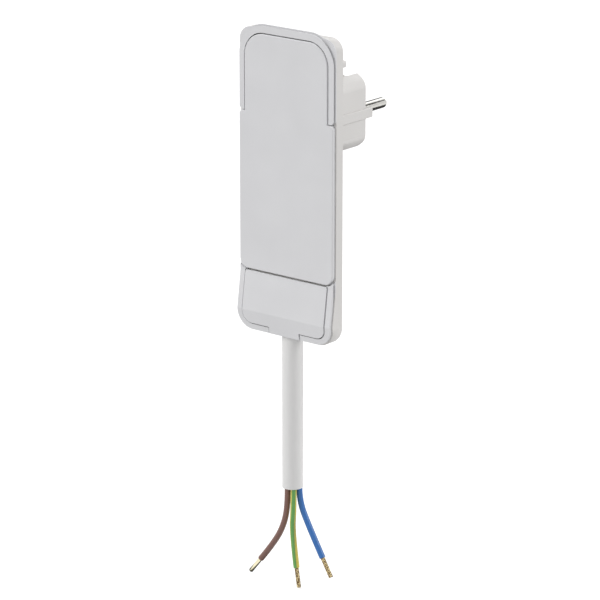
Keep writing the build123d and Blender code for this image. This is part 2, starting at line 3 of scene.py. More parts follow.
import bmesh
import bpy
from bpy.props import FloatProperty, FloatVectorProperty, IntProperty, PointerProperty
from mathutils import Matrix, Vector


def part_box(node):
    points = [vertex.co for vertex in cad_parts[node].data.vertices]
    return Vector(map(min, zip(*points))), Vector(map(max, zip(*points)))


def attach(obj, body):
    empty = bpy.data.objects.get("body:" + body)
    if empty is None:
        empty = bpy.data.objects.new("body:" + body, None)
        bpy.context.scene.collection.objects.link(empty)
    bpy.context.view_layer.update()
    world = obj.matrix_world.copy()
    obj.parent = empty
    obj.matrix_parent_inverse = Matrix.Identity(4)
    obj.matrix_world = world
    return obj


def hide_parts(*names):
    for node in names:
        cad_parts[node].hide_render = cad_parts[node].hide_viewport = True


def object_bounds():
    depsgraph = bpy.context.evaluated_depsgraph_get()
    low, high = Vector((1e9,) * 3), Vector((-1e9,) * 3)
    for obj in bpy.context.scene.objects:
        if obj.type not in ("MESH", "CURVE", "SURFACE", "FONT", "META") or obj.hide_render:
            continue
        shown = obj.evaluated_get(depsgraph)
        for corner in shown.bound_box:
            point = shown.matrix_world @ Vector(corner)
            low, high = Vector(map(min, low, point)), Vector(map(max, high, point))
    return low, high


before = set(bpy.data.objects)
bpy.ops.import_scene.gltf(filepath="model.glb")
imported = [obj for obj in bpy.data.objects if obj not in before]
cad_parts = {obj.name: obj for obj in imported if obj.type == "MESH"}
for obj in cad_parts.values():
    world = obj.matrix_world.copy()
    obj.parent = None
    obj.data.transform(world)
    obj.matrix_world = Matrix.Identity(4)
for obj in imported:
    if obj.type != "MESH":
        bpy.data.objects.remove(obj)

bl_info = {
    "name": "Flat mains plug looks",
    "version": (1, 0, 0),
    "blender": (4, 5, 0),
    "location": "View3D > Sidebar > Plug",
    "description": "Finishes, cord, stripped cores, screws and stage for the flat mains plug",
    "category": "Object",
}

BOX_AT_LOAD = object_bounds()

# Camera: the point it looks at, in metres, and its sensor in millimetres
LOOK_AT = (-0.00349, -0.0245, -0.08367)
SENSOR = 36.0
CLIP_END = 100.0

# Floor, in metres: its gap under the object and half its side; how light it is, by light and alone
FLOOR_GAP = 0.0006
FLOOR_REACH = 30.0
FLOOR_TONE = 0.6
FLOOR_GLOW = 0.55

# Dark cards that the pins and the end ferrule mirror, two corners each: three upright ones behind
# the object, and one that lies just over the floor
CARD_TONE = 0.07
CARD_Y = 0.21
GROUND = BOX_AT_LOAD[0].z - FLOOR_GAP + 0.0002
CARDS = {
    "dark_card_high": ((0.055, CARD_Y, 0.105), (0.175, CARD_Y, 0.220)),
    "dark_card_low": ((-0.170, CARD_Y, -0.215), (0.150, CARD_Y, -0.100)),
    "dark_card_left": ((-0.300, CARD_Y, -0.060), (-0.105, CARD_Y, 0.160)),
    "dark_card_ground": ((-0.055, -0.0245, GROUND), (-0.022, 0.030, GROUND)),
}

# Suns: the way to each, its strength and its width in degrees
SUNS = {
    "light_front_left": ((-0.45, -0.60, 0.66), 1.60, 45),
    "light_right": ((0.70, 0.50, 0.50), 1.30, 30),
    "light_behind": ((-0.35, 0.90, 0.25), 0.65, 60),
}

# Pins and screws, in metres: radii and places of the CAD source
PIN_RADIUS = 0.0024
PIN_SHANK = 0.0028
PIN_TAIL = 0.0019
PIN_TAIL_LENGTH = 0.0048
COLLAR_TOP = -0.0030
COLLAR_CHAMFER = 0.0002
SCREW_HEAD = 0.0021
SCREW_SHANK = 0.0011
CROSS_REACH = 0.0026
CROSS_DEPTH = 0.0012

# Strands of a bare end: their radius and the radius they are laid at, in metres, and their turns
STRAND_RADIUS = 0.00037
STRAND_LAY = 0.00063
STRAND_TURNS = 1.1

# Cord and cores: the routes of the CAD source, in metres
JACKET_ROUTE = [
    (-0.0117, -0.0196, -0.0850),
    (-0.0117, -0.0196, -0.1300),
    (-0.0117, -0.0196, -0.1743),
]
CORE_ROUTES = {
    "line": [
        (-0.0132, -0.0213, -0.1743),
        (-0.0132, -0.0213, -0.1840),
        (-0.0156, -0.0216, -0.1940),
        (-0.0212, -0.0218, -0.2035),
        (-0.0284, -0.0220, -0.2124),
    ],
    "earth": [
        (-0.0097, -0.0214, -0.1743),
        (-0.0097, -0.0214, -0.1845),
        (-0.0102, -0.0218, -0.1950),
        (-0.0079, -0.0215, -0.2119),
    ],
    "neutral": [
        (-0.0089, -0.0182, -0.1743),
        (-0.0089, -0.0182, -0.1810),
        (-0.0033, -0.0185, -0.1915),
        (0.0052, -0.0190, -0.2049),
    ],
}


# Settings that a user would change

def colour(name, description, default):
    """A colour setting, in linear values."""
    return FloatVectorProperty(
        name=name, description=description, default=default, subtype="COLOR", size=3, min=0, max=1
    )


def length(name, description, default):
    """A length setting in metres."""
    return FloatProperty(
        name=name, description=description, default=default, subtype="DISTANCE", unit="LENGTH",
        precision=5, min=0,
    )


def share(name, description, default):
    """A setting from 0 to 1."""
    return FloatProperty(
        name=name, description=description, default=default, subtype="FACTOR", min=0, max=1
    )


class PlugMouldings(bpy.types.PropertyGroup):
    """Sizes and colours of the moulded plastic"""

    front_colour: colour("Front colour", "Handle, frame and cable cover", (0.70, 0.70, 0.715))
    shell_colour: colour("Shell colour", "The plate's base and the insert", (0.71, 0.695, 0.68))
    carrier_colour: colour("Inner colour", "Carrier and lead cover", (0.74, 0.73, 0.70))
    roughness: share("Roughness", "Middle roughness of the plastic", 0.42)
    grain: length("Grain", "Size of the eroded mould's texture", 0.00035)
    grain_depth: length("Grain depth", "Depth of the mould's texture", 0.000012)
    edge: length("Edge", "Radius at the sharp edges of the mouldings", 0.00022)


class PlugMetals(bpy.types.PropertyGroup):
    """Colours and marks of the metal pieces"""

    nickel: colour("Nickel", "Plating of the pins", (0.64, 0.63, 0.60))
    spring: colour("Spring strip", "Tinned strip of the earth contacts", (0.62, 0.61, 0.58))
    zinc: colour("Zinc", "Plating of the screws and the clamp", (0.55, 0.56, 0.58))
    brass: colour("Brass", "Brass of the ferrules", (0.70, 0.53, 0.27))
    tinned: colour("Tinned brass", "Bare ends of the cores", (0.60, 0.49, 0.27))
    # Painted shade: the dark colour that the bare ends get in the hollows of their relief, for the
    # gaps between the strands
    strand_gap_shade: colour("Gap shade", "Gaps between the strands of a bare end", (0.16, 0.10, 0.045))
    ferrule: colour("End ferrule", "Ferrule on the line core's end", (0.80, 0.74, 0.52))
    pin_roughness: share("Pin roughness", "Roughness of the turned pins", 0.14)
    turning: length("Turning", "Distance of the turning marks on the pins", 0.00022)
    screw_cross: length("Screw cross", "Width of the cross in a screw's head", 0.0007)


class PlugCord(bpy.types.PropertyGroup):
    """Sizes and colours of the cord"""

    jacket_diameter: length("Jacket", "Diameter of the cord's jacket", 0.0095)
    core_diameter: length("Core", "Diameter of an insulated core", 0.0028)
    jacket_colour: colour("Jacket colour", "Jacket of the cord", (0.76, 0.755, 0.75))
    brown: colour("Brown", "Insulation of the line core", (0.19, 0.095, 0.075))
    blue: colour("Blue", "Insulation of the neutral core", (0.03, 0.145, 0.43))
    green: colour("Green", "Green of the earth core", (0.13, 0.36, 0.085))
    yellow: colour("Yellow", "Yellow of the earth core", (0.66, 0.55, 0.10))
    stripe_twist: FloatProperty(
        name="Stripe twist", description="Turns of the stripes to a metre", default=-3.0
    )
    green_share: share("Green", "Share of the earth core that is green", 0.42)
    strands: IntProperty(
        name="Strands", description="Outer strands of a bare core end", default=6, min=3
    )
    bare_length: length("Bare length", "Length of a core's bare end", 0.0095)
    ferrule_diameter: length("Ferrule", "Diameter of the line core's end ferrule", 0.0020)


class PlugStage(bpy.types.PropertyGroup):
    """Camera and light"""

    azimuth: FloatProperty(
        name="Azimuth", description="Camera to the right of the front, in degrees", default=38.85
    )
    elevation: FloatProperty(
        name="Elevation", description="Camera over the horizon, in degrees", default=16.78
    )
    distance: length("Distance", "Camera to the point that it looks at", 1.449)
    lens: FloatProperty(name="Lens", description="Focal length in millimetres", default=197.1)
    sky: FloatProperty(name="Sky", description="Even light from all round", default=0.5)


# Materials

def new_material(name):
    """A node material with its Principled shader."""
    material = bpy.data.materials.new(name)
    material.use_nodes = True
    return material, material.node_tree, material.node_tree.nodes["Principled BSDF"]


def noise(tree, scale, detail=3.0, vector=None):
    """Noise on Object coordinates, scale in features to a metre."""
    node = tree.nodes.new("ShaderNodeTexNoise")
    node.inputs["Scale"].default_value = scale
    node.inputs["Detail"].default_value = detail
    tree.links.new(vector or object_coordinates(tree), node.inputs["Vector"])
    return node.outputs["Fac"]


def math_node(tree, operation, *values):
    """Math node on outputs or numbers."""
    node = tree.nodes.new("ShaderNodeMath")
    node.operation = operation
    for socket, value in zip(node.inputs, values):
        if isinstance(value, bpy.types.NodeSocket):
            tree.links.new(value, socket)
        else:
            socket.default_value = value
    return node.outputs[0]


def object_coordinates(tree):
    """Object coordinates output, one node for the tree."""
    node = tree.nodes.get("Object place")
    if node is None:
        node = tree.nodes.new("ShaderNodeTexCoord")
        node.name = "Object place"
    return node.outputs["Object"]


def remap(tree, value, low, high, start=0.3, end=0.7):
    """Value spread from low to high."""
    node = tree.nodes.new("ShaderNodeMapRange")
    node.inputs["From Min"].default_value = start
    node.inputs["From Max"].default_value = end
    node.inputs["To Min"].default_value = low
    node.inputs["To Max"].default_value = high
    tree.links.new(value, node.inputs["Value"])
    return node.outputs["Result"]


def blend_colours(tree, factor, first, second):
    """Mix of two colours."""
    node = tree.nodes.new("ShaderNodeMix")
    node.data_type = "RGBA"
    node.inputs[6].default_value = (*first, 1)
    node.inputs[7].default_value = (*second, 1)
    tree.links.new(factor, node.inputs[0])
    return node.outputs[2]


def bump(tree, shader, height, depth, below=None):
    """Relief from a height, on top of another relief."""
    node = tree.nodes.new("ShaderNodeBump")
    node.inputs["Distance"].default_value = depth
    tree.links.new(height, node.inputs["Height"])
    if below is not None:
        tree.links.new(below, node.inputs["Normal"])
    tree.links.new(node.outputs["Normal"], shader.inputs["Normal"])
    return node.outputs["Normal"]


def scaled(tint, factor):
    """Colour made darker or lighter."""
    return tuple(min(1.0, part * factor) for part in tint)


def paint(tree, shader, factor, first, second):
    """Base colour between two colours."""
    tree.links.new(blend_colours(tree, factor, first, second), shader.inputs["Base Color"])


def polish(tree, shader, spots, low, high):
    """Uneven roughness, from low to high."""
    tree.links.new(remap(tree, spots, low, high), shader.inputs["Roughness"])


def moulded_plastic(name, tint, roughness, grain, depth):
    """Moulded plastic: faint flow clouds, an eroded mould's fine grain and some handling shine."""
    material, tree, shader = new_material(name)
    clouds = remap(tree, noise(tree, 45, 2), 0, 1)
    paint(tree, shader, clouds, scaled(tint, 0.972), scaled(tint, 1.012))
    polish(tree, shader, noise(tree, 160, 4), roughness - 0.05, roughness + 0.06)
    fine = bump(tree, shader, noise(tree, 1 / grain, 2), depth)
    bump(tree, shader, noise(tree, 70, 1), depth * 3, fine)
    shader.inputs["Specular IOR Level"].default_value = 0.42
    return material


def insulation(name, tint, roughness=0.36, lines=0.065):
    """Extruded soft plastic: drawn lines along the core and faint dust."""
    material, tree, shader = new_material(name)
    stretch = tree.nodes.new("ShaderNodeMapping")
    stretch.inputs["Scale"].default_value = (1, 1, 0.12)
    tree.links.new(object_coordinates(tree), stretch.inputs["Vector"])
    drawn = noise(tree, 900, 3, stretch.outputs["Vector"])
    streaks = remap(tree, drawn, 0, 1)
    paint(tree, shader, streaks, scaled(tint, 1 - lines), scaled(tint, 1 + lines))
    polish(tree, shader, noise(tree, 300), roughness - 0.05, roughness + 0.07)
    bump(tree, shader, drawn, 0.0006 * lines)
    shader.inputs["Specular IOR Level"].default_value = 0.5
    return material


def striped_insulation(name, green, yellow, twist, green_share):
    """Green and yellow insulation, two stripes of each that wind slowly along the core's map."""
    material, tree, shader = new_material(name)
    place = tree.nodes.new("ShaderNodeUVMap")
    place.uv_map = "along"
    parts = tree.nodes.new("ShaderNodeSeparateXYZ")
    tree.links.new(place.outputs["UV"], parts.inputs["Vector"])
    turn = math_node(tree, "MULTIPLY_ADD", parts.outputs["X"], twist, parts.outputs["Y"])
    wave = math_node(tree, "COSINE", math_node(tree, "MULTIPLY", turn, 2 * tau))
    border = -cos(pi * green_share)
    edge = remap(tree, wave, 0, 1, border - 0.06, border + 0.06)
    worn = noise(tree, 700, 3)
    pale = remap(tree, worn, 0.92, 1.06)
    stripes = blend_colours(tree, edge, green, yellow)
    tone = tree.nodes.new("ShaderNodeVectorMath")
    tone.operation = "SCALE"
    tree.links.new(stripes, tone.inputs[0])
    tree.links.new(pale, tone.inputs["Scale"])
    tree.links.new(tone.outputs[0], shader.inputs["Base Color"])
    polish(tree, shader, noise(tree, 300), 0.32, 0.44)
    bump(tree, shader, worn, 0.00004)
    return material


def metal(name, tint, roughness, spacing, axis="Y", marks=0.000004):
    """Metal with fine tool marks across an axis, small stains and uneven polish."""
    material, tree, shader = new_material(name)
    shader.inputs["Metallic"].default_value = 1.0
    stains = remap(tree, noise(tree, 220, 5), 0, 1)
    paint(tree, shader, stains, scaled(tint, 0.86), scaled(tint, 1.05))
    polish(tree, shader, noise(tree, 600, 4), roughness * 0.7, roughness * 1.5)
    rings = tree.nodes.new("ShaderNodeTexWave")
    rings.bands_direction = axis
    rings.inputs["Scale"].default_value = 1 / (20 * spacing)
    rings.inputs["Distortion"].default_value = 0.4
    tree.links.new(object_coordinates(tree), rings.inputs["Vector"])
    bump(tree, shader, rings.outputs["Fac"], marks)
    return material


def strands_with_gap_shade(name, tint, dark):
    """Tinned brass strands with pressed spots, dark in the spots' hollows: painted shade that
    stands for the gaps between the strands.
    """
    material, tree, shader = new_material(name)
    shader.inputs["Metallic"].default_value = 0.85
    # Painted shade: the dark colour goes where the relief below is low
    spots = remap(tree, noise(tree, 1500, 2), 0, 1, 0.44, 0.58)
    paint(tree, shader, spots, dark, tint)
    polish(tree, shader, noise(tree, 800, 3), 0.22, 0.42)
    bump(tree, shader, spots, 0.00012)
    return material


def give(node, material):
    """Puts one material on a CAD node or a piece."""
    node.data.materials.clear()
    node.data.materials.append(material)


# Shapes

def put(name, data):
    """New object in the scene."""
    made = bpy.data.objects.new(name, data)
    bpy.context.scene.collection.objects.link(made)
    return made


def settled_mesh(holder):
    """Mesh of an object as its modifiers or its curve settings leave it."""
    settled = holder.evaluated_get(bpy.context.evaluated_depsgraph_get())
    return bpy.data.meshes.new_from_object(settled)


def circle(radius, sides, step):
    """Place of one step round a circle."""
    return radius * cos(tau * step / sides), radius * sin(tau * step / sides)


def soften(node, width):
    """Rounds a moulding's sharp edges, as far as its short ones allow; its mesh stays as packed."""
    weld = node.modifiers.new("Weld", "WELD")
    weld.merge_threshold = 2e-6
    flat = node.modifiers.new("Flat faces", "DECIMATE")
    flat.decimate_type = "DISSOLVE"
    flat.angle_limit = radians(0.4)
    edges = node.modifiers.new("Edges", "BEVEL")
    edges.limit_method = "ANGLE"
    edges.angle_limit = radians(38)
    edges.width = width
    edges.segments = 2
    edges.harden_normals = True


def mesh_piece(name, mesh, material, body):
    """A finished mesh as a piece that rides on a body."""
    piece = put(name, mesh)
    give(piece, material)
    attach(piece, body)
    return piece


def turned(profile, sides, axis="Y"):
    """Closed mesh of a profile of (radius, place along the axis) turned round it."""
    build = bmesh.new()
    rings = []
    for radius, along in profile:
        if radius == 0:
            rings.append([build.verts.new(on_axis(0, 0, along, axis))])
            continue
        rings.append([
            build.verts.new(on_axis(*circle(radius, sides, k), along, axis)) for k in range(sides)
        ])
    for lower, upper in zip(rings, rings[1:]):
        for k in range(sides):
            corners = [lower[k % len(lower)], lower[(k + 1) % len(lower)],
                       upper[(k + 1) % len(upper)], upper[k % len(upper)]]
            build.faces.new(list(dict.fromkeys(corners)))
    bmesh.ops.recalc_face_normals(build, faces=build.faces)
    mesh = bpy.data.meshes.new("turned")
    build.to_mesh(mesh)
    build.free()
    mesh.shade_smooth()
    mesh.set_sharp_from_angle(angle=radians(35))
    return mesh


def on_axis(across, over, along, axis):
    """Point of a turned profile, with the axis along Y or Z."""
    return (across, along, over) if axis == "Y" else (across, over, along)


def spline(name, route, radius, material):
    """A round cord on one smooth curve through its route."""
    data = bpy.data.curves.new(name, "CURVE")
    data.dimensions = "3D"
    line = data.splines.new("NURBS")
    line.points.add(len(route) - 1)
    for point, place in zip(line.points, route):
        point.co = (*place, 1)
    line.order_u = 3
    line.use_endpoint_u = True
    line.resolution_u = 16
    data.bevel_depth = radius
    data.bevel_resolution = 10
    data.use_fill_caps = radius > 0
    cord = put(name, data)
    if material is not None:
        data.materials.append(material)
    return cord


def followed(route):
    """Points along a route's own smooth curve."""
    line = spline("guide", route, 0, None)
    mesh = settled_mesh(line)
    points = [vertex.co.copy() for vertex in mesh.vertices]
    bpy.data.objects.remove(line)
    bpy.data.meshes.remove(mesh)
    return points


def tube(name, points, radius, sides):
    """Closed round tube along points, with a map of the way along and the way round."""
    build = bmesh.new()
    layer = build.loops.layers.uv.new("along")
    direction = (points[1] - points[0]).normalized()
    across = direction.orthogonal().normalized()
    rings, travelled, far = [], [], 0.0
    for index, point in enumerate(points):
        ahead = points[min(index + 1, len(points) - 1)] - points[max(index - 1, 0)]
        turn = direction.rotation_difference(ahead.normalized())
        across = (turn @ across).normalized()
        direction = ahead.normalized()
        over = direction.cross(across)
        far += (point - points[index - 1]).length if index else 0.0
        travelled.append(far)
        places = [circle(radius, sides, k) for k in range(sides)]
        rings.append([build.verts.new(point + across * a + over * b) for a, b in places])
    for row, (lower, upper) in enumerate(zip(rings, rings[1:])):
        for k in range(sides):
            after = (k + 1) % sides
            face = build.faces.new((lower[k], lower[after], upper[after], upper[k]))
            marks = ((row, k), (row, k + 1), (row + 1, k + 1), (row + 1, k))
            for loop, (ring, step) in zip(face.loops, marks):
                loop[layer].uv = (travelled[ring], step / sides)
    for ring, order, along in ((rings[0], -1, 0.0), (rings[-1], 1, far)):
        face = build.faces.new(ring[::order])
        for loop in face.loops:
            loop[layer].uv = (along, ring.index(loop.vert) / sides)
    bmesh.ops.recalc_face_normals(build, faces=build.faces)
    mesh = bpy.data.meshes.new(name)
    build.to_mesh(mesh)
    build.free()
    mesh.shade_smooth()
    mesh.set_sharp_from_angle(angle=radians(50))
    return mesh


def node_tree(name, inputs):
    """Geometry Nodes tree with named inputs; returns it, its input and its output node."""
    tree = bpy.data.node_groups.new(name, "GeometryNodeTree")
    add = tree.interface.new_socket
    add("Geometry", in_out="INPUT", socket_type="NodeSocketGeometry")
    for label, kind, default in inputs:
        socket = add(label, in_out="INPUT", socket_type=kind)
        if default is not None:
            socket.default_value = default
    add("Geometry", in_out="OUTPUT", socket_type="NodeSocketGeometry")
    return tree, tree.nodes.new("NodeGroupInput"), tree.nodes.new("NodeGroupOutput")


def grown(name, tree, values, start_mesh=None):
    """Plain mesh that a tree makes with these input values."""
    holder = put(name, start_mesh or bpy.data.meshes.new(name))
    modifier = holder.modifiers.new(name, "NODES")
    modifier.node_group = tree
    for item in tree.interface.items_tree:
        if item.in_out == "INPUT" and item.name in values:
            modifier[item.identifier] = values[item.name]
    bpy.context.view_layer.update()
    mesh = settled_mesh(holder)
    bpy.data.objects.remove(holder)
    mesh.name = name
    return mesh


def strand_tree():
    """Strands twisted round a middle one, along Z from the origin."""
    tree, group, output = node_tree("twisted_strands", [
        ("Strands", "NodeSocketInt", 6),
        ("Strand Radius", "NodeSocketFloat", 0.0004),
        ("Lay Radius", "NodeSocketFloat", 0.0006),
        ("Length", "NodeSocketFloat", 0.008),
        ("Turns", "NodeSocketFloat", 1.0),
        ("Finish", "NodeSocketMaterial", None),
    ])
    link = tree.links.new
    profile = tree.nodes.new("GeometryNodeCurvePrimitiveCircle")
    profile.inputs["Resolution"].default_value = 10
    link(group.outputs["Strand Radius"], profile.inputs["Radius"])
    helix = tree.nodes.new("GeometryNodeCurveSpiral")
    helix.inputs["Resolution"].default_value = 28
    link(group.outputs["Turns"], helix.inputs["Rotations"])
    link(group.outputs["Lay Radius"], helix.inputs["Start Radius"])
    link(group.outputs["Lay Radius"], helix.inputs["End Radius"])
    link(group.outputs["Length"], helix.inputs["Height"])
    strand = tree.nodes.new("GeometryNodeCurveToMesh")
    strand.inputs["Fill Caps"].default_value = True
    link(helix.outputs["Curve"], strand.inputs["Curve"])
    link(profile.outputs["Curve"], strand.inputs["Profile Curve"])
    points = tree.nodes.new("GeometryNodePoints")
    link(group.outputs["Strands"], points.inputs["Count"])
    index = tree.nodes.new("GeometryNodeInputIndex")
    step = math_node(tree, "DIVIDE", tau, group.outputs["Strands"])
    turn = tree.nodes.new("ShaderNodeCombineXYZ")
    link(math_node(tree, "MULTIPLY", index.outputs[0], step), turn.inputs["Z"])
    ring = tree.nodes.new("GeometryNodeInstanceOnPoints")
    link(points.outputs[0], ring.inputs["Points"])
    link(strand.outputs["Mesh"], ring.inputs["Instance"])
    link(turn.outputs[0], ring.inputs["Rotation"])
    top = tree.nodes.new("ShaderNodeCombineXYZ")
    link(group.outputs["Length"], top.inputs["Z"])
    middle = tree.nodes.new("GeometryNodeCurvePrimitiveLine")
    link(top.outputs[0], middle.inputs["End"])
    heart = tree.nodes.new("GeometryNodeCurvePrimitiveCircle")
    heart.inputs["Resolution"].default_value = 12
    inside = math_node(tree, "MULTIPLY", group.outputs["Lay Radius"], 0.98)
    link(inside, heart.inputs["Radius"])
    rod = tree.nodes.new("GeometryNodeCurveToMesh")
    rod.inputs["Fill Caps"].default_value = True
    link(middle.outputs["Curve"], rod.inputs["Curve"])
    link(heart.outputs["Curve"], rod.inputs["Profile Curve"])
    joined = tree.nodes.new("GeometryNodeJoinGeometry")
    link(ring.outputs["Instances"], joined.inputs[0])
    link(rod.outputs["Mesh"], joined.inputs[0])
    finish_tree(tree, group, output, joined.outputs[0])
    return tree


def finish_tree(tree, group, output, geometry):
    """Ends a tree: real meshes, smooth, with the finish."""
    real = tree.nodes.new("GeometryNodeRealizeInstances")
    smooth = tree.nodes.new("GeometryNodeSetShadeSmooth")
    coat = tree.nodes.new("GeometryNodeSetMaterial")
    tree.links.new(geometry, real.inputs[0])
    tree.links.new(real.outputs[0], smooth.inputs[0])
    tree.links.new(smooth.outputs[0], coat.inputs[0])
    tree.links.new(group.outputs["Finish"], coat.inputs["Material"])
    tree.links.new(coat.outputs[0], output.inputs[0])


def pair_tree():
    """Two copies of the given screw, each turned a little differently."""
    tree, group, output = node_tree("screw_pair", [
        ("First Place", "NodeSocketVector", (0.0, 0.0, 0.0)),
        ("Step", "NodeSocketVector", (0.01, 0.0, 0.0)),
        ("Turn", "NodeSocketFloat", 0.6),
        ("Finish", "NodeSocketMaterial", None),
    ])
    link = tree.links.new
    places = tree.nodes.new("GeometryNodeMeshLine")
    places.inputs["Count"].default_value = 2
    link(group.outputs["First Place"], places.inputs["Start Location"])
    link(group.outputs["Step"], places.inputs["Offset"])
    index = tree.nodes.new("GeometryNodeInputIndex")
    turn = tree.nodes.new("ShaderNodeCombineXYZ")
    about = math_node(tree, "MULTIPLY_ADD", index.outputs[0], group.outputs["Turn"], 0.3)
    link(about, turn.inputs["Y"])
    placed = tree.nodes.new("GeometryNodeInstanceOnPoints")
    link(places.outputs[0], placed.inputs["Points"])
    link(group.outputs["Geometry"], placed.inputs["Instance"])
    link(turn.outputs[0], placed.inputs["Rotation"])
    finish_tree(tree, group, output, placed.outputs[0])
    return tree


# Operators, one for each group of like pieces

class PlugMouldingsOperator(bpy.types.Operator):
    """Finish the base, the frame, the handle and the cable cover"""

    bl_idname = "plug.mouldings"
    bl_label = "Mouldings"

    def execute(self, context):
        looks = context.scene.plug_mouldings
        front = moulded_plastic(
            "front_plastic", tuple(looks.front_colour), looks.roughness, looks.grain,
            looks.grain_depth,
        )
        shell = moulded_plastic(
            "shell_plastic", tuple(looks.shell_colour), looks.roughness + 0.04, looks.grain,
            looks.grain_depth * 1.3,
        )
        for name, material in (
            ("base_shell", shell), ("front_frame", front), ("handle_panel", front),
            ("cable_cover", front),
        ):
            give(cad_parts[name], material)
            soften(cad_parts[name], looks.edge)
        return {"FINISHED"}


class PlugInnerOperator(bpy.types.Operator):
    """Finish the plastic pieces inside the plate"""

    bl_idname = "plug.inner"
    bl_label = "Inner pieces"

    def execute(self, context):
        looks = context.scene.plug_mouldings
        carrier = moulded_plastic(
            "carrier_plastic", tuple(looks.carrier_colour), 0.5, looks.grain,
            looks.grain_depth * 2,
        )
        for name in ("contact_carrier", "lead_cover"):
            give(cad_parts[name], carrier)
        cord = context.scene.plug_cord
        for name, tint in (
            ("line_lead", cord.brown), ("neutral_lead", cord.blue), ("earth_lead", cord.green)
        ):
            give(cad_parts[name], insulation(f"{name}_insulation", tuple(tint)))
        return {"FINISHED"}


class PlugPinsOperator(bpy.types.Operator):
    """Turn the two pins"""

    bl_idname = "plug.pins"
    bl_label = "Pins"

    def execute(self, context):
        looks = context.scene.plug_metals
        nickel = metal("pin_nickel", tuple(looks.nickel), looks.pin_roughness, looks.turning)
        for name in ("line_pin", "neutral_pin"):
            low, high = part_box(name)
            mesh = turned(pin_profile((high.x - low.x) / 2, low.y, high.y), 64)
            mesh.transform(Matrix.Translation(((low.x + high.x) / 2, 0, 0)))
            piece = mesh_piece(f"{name}_turned", mesh, nickel, "housing")
            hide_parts(name)
        return {"FINISHED"}


def pin_profile(collar, foot, tip):
    """Pin from its tail, past the collar and the shank, to its domed tip."""
    dome = [circle(PIN_RADIUS, 40, step) for step in range(10)]
    slant, tail = COLLAR_CHAMFER, foot + PIN_TAIL_LENGTH
    return [
        (0, foot), (PIN_TAIL - slant / 2, foot), (PIN_TAIL, foot + slant / 2), (PIN_TAIL, tail),
        (collar - slant, tail), (collar, tail + slant), (collar, COLLAR_TOP - slant),
        (collar - slant, COLLAR_TOP), (PIN_SHANK, COLLAR_TOP), (PIN_SHANK, 0), (PIN_RADIUS, 0),
        *((radius, tip - PIN_RADIUS + along) for radius, along in dome), (0, tip),
    ]


class PlugMetalPartsOperator(bpy.types.Operator):
    """Finish the earth contacts, ferrules and clamp"""

    bl_idname = "plug.metal_parts"
    bl_label = "Metal parts"

    def execute(self, context):
        looks = context.scene.plug_metals
        spring = metal("spring_strip", tuple(looks.spring), 0.24, 0.0003, "X")
        brass = metal("ferrule_brass", tuple(looks.brass), 0.26, 0.0003)
        zinc = metal("clamp_zinc", tuple(looks.zinc), 0.32, 0.0005, "X")
        for name, material in (
            ("earth_bracket", spring), ("earth_terminal", spring), ("earth_rivet", brass),
            ("line_ferrule", brass), ("neutral_ferrule", brass), ("cord_clamp", zinc),
        ):
            give(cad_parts[name], material)
        return {"FINISHED"}


class PlugScrewsOperator(bpy.types.Operator):
    """Make the two pairs of screws with their cross recesses"""

    bl_idname = "plug.screws"
    bl_label = "Screws"

    def execute(self, context):
        looks = context.scene.plug_metals
        zinc = metal("screw_zinc", tuple(looks.zinc), 0.28, 0.0002)
        tree = pair_tree()
        shapes = {
            "cover_screws": (countersunk_profile(), 1),
            "clamp_screws": (pan_profile(), -1),
        }
        for name, (profile, facing) in shapes.items():
            low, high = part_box(name)
            seat = high.y if facing > 0 else low.y
            screw = cross_headed(profile, looks.screw_cross)
            first = Vector((low.x + SCREW_HEAD, seat, (low.z + high.z) / 2))
            step = Vector((high.x - low.x - 2 * SCREW_HEAD, 0, 0))
            mesh = grown(f"{name}_made", tree, {
                "First Place": first, "Step": step, "Turn": 0.7, "Finish": zinc,
            }, screw)
            mesh.set_sharp_from_angle(angle=radians(35))
            piece = mesh_piece(f"{name}_made", mesh, zinc, "housing")
            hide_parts(name)
        return {"FINISHED"}


def countersunk_profile():
    """Countersunk screw, its head's face at 0 and its shank towards negative Y."""
    return [
        (0, 0), (SCREW_HEAD - 0.0001, 0), (SCREW_HEAD, -0.0001), (SCREW_SHANK, -0.0011),
        (SCREW_SHANK, -0.0060), (0.0007, -0.0065), (0, -0.0065),
    ]


def pan_profile():
    """Pan-headed screw, its head's face at 0 and its shank towards positive Y."""
    angles = [step * pi / 12 for step in range(1, 7)]
    dome = [(SCREW_HEAD * sin(angle), 0.00055 * (1 - cos(angle))) for angle in angles]
    return [
        (0, 0), *dome, (SCREW_HEAD, 0.0013), (SCREW_SHANK, 0.0013), (SCREW_SHANK, 0.0035),
        (0.0008, 0.0037), (0, 0.0037),
    ]


def cross_headed(profile, width):
    """Mesh of a screw with a cross recess in the head's face at 0."""
    body = put("screw", turned(profile, 32))
    build = bmesh.new()
    for size in ((CROSS_REACH, CROSS_DEPTH, width), (width, CROSS_DEPTH, CROSS_REACH)):
        made = bmesh.ops.create_cube(build, size=1)
        bmesh.ops.scale(build, vec=size, verts=made["verts"])
    bars = bpy.data.meshes.new("bars")
    build.to_mesh(bars)
    build.free()
    cutter = put("cross", bars)
    cut = body.modifiers.new("Cross", "BOOLEAN")
    cut.object = cutter
    cut.operation = "DIFFERENCE"
    cut.solver = "EXACT"
    cut.use_self = True
    bpy.context.view_layer.update()
    mesh = settled_mesh(body)
    bpy.data.objects.remove(body)
    bpy.data.objects.remove(cutter)
    return mesh


class PlugCordOperator(bpy.types.Operator):
    """Make the cord's jacket"""

    bl_idname = "plug.cord"
    bl_label = "Cord"

    def execute(self, context):
        looks = context.scene.plug_cord
        jacket = insulation("jacket_white", tuple(looks.jacket_colour), 0.46, 0.015)
        cord = spline("cord", JACKET_ROUTE, looks.jacket_diameter / 2, jacket)
        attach(cord, "housing")
        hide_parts("cord_jacket")
        return {"FINISHED"}


